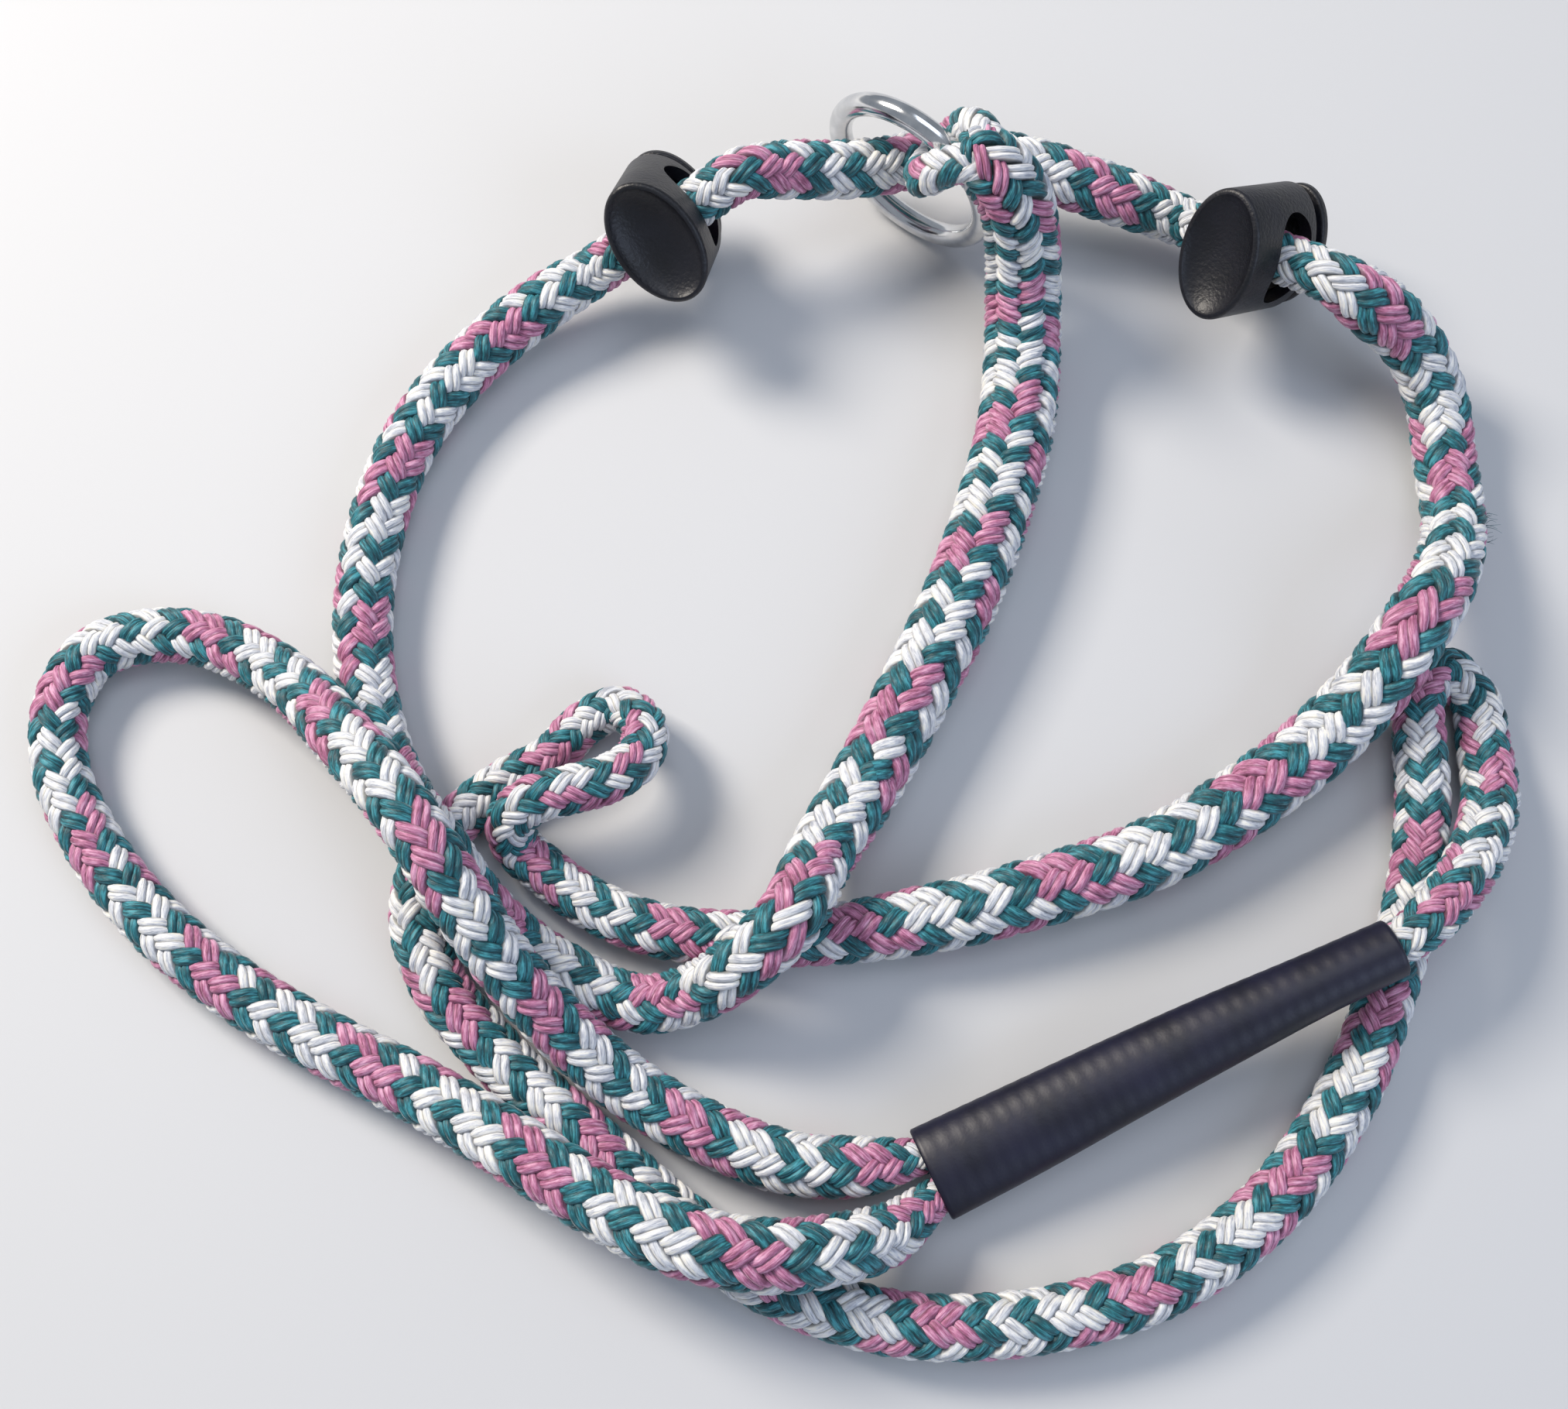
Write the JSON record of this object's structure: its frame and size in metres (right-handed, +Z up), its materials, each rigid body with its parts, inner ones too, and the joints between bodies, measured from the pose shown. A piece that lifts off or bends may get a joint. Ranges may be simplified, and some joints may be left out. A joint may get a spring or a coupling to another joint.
{
  "type": "lead rope",
  "caption": "Braided rope lead lying in loops: a noose running through a metal ring, oval black cord locks on it, and a handle loop closed by a heat-shrink sleeve.",
  "frame": {"origin": "on the ground below the middle of the part's box, as it lies", "axes": "+X to the right, +Y away from the handle towards the ring, +Z up"},
  "size_m": [0.2338, 0.1964, 0.0326],
  "materials": {
    "braid": "matte",
    "chrome": "polished",
    "sleeve": "satin",
    "lock_plastic": "satin",
    "spring_steel": "polished"
  },
  "bodies": {
    "root": {"rope_eye": "braid", "rope_splice": "braid", "rope_noose": "braid", "rope_lead_upper": "braid", "rope_lead_lower": "braid", "rope_sleeve_entry": "braid", "rope_handle_loop": "braid", "rope_tail": "braid", "heat_shrink_sleeve": "sleeve"},
    "ring_body": {"ring": "chrome"},
    "left_lock": {"left_lock_barrel": "lock_plastic", "left_lock_spring": "spring_steel"},
    "left_plunger": {"left_lock_plunger": "lock_plastic"},
    "right_lock": {"right_lock_barrel": "lock_plastic", "right_lock_spring": "spring_steel"},
    "right_plunger": {"right_lock_plunger": "lock_plastic"}
  },
  "joints": [
    {"name": "ring_turn", "type": "hinge", "parent": "root", "child": "ring_body", "pos_m": [0.0231, 0.0877, 0.0165], "axis": [0.5976, 0.8018, 0], "continuous": true},
    {"name": "left_lock_slide", "type": "slide", "parent": "root", "child": "left_lock", "axis": [0.827, 0.3349, 0.4515], "range_m": [-0.003, 0.003]},
    {"name": "left_plunger_press", "type": "slide", "parent": "left_lock", "child": "left_plunger", "axis": [-0.0909, -0.713, 0.6953], "range_m": [0, 0.0025], "stiffness_N_per_m": 300, "springref_m": -0.004, "deforming": ["left_lock_spring"]},
    {"name": "right_lock_slide", "type": "slide", "parent": "root", "child": "right_lock", "axis": [0.6964, -0.5798, 0.4228], "range_m": [-0.003, 0.003]},
    {"name": "right_plunger_press", "type": "slide", "parent": "right_lock", "child": "right_plunger", "axis": [-0.6991, -0.4154, 0.582], "range_m": [0, 0.0025], "stiffness_N_per_m": 300, "springref_m": -0.004, "deforming": ["right_lock_spring"]}
  ]
}
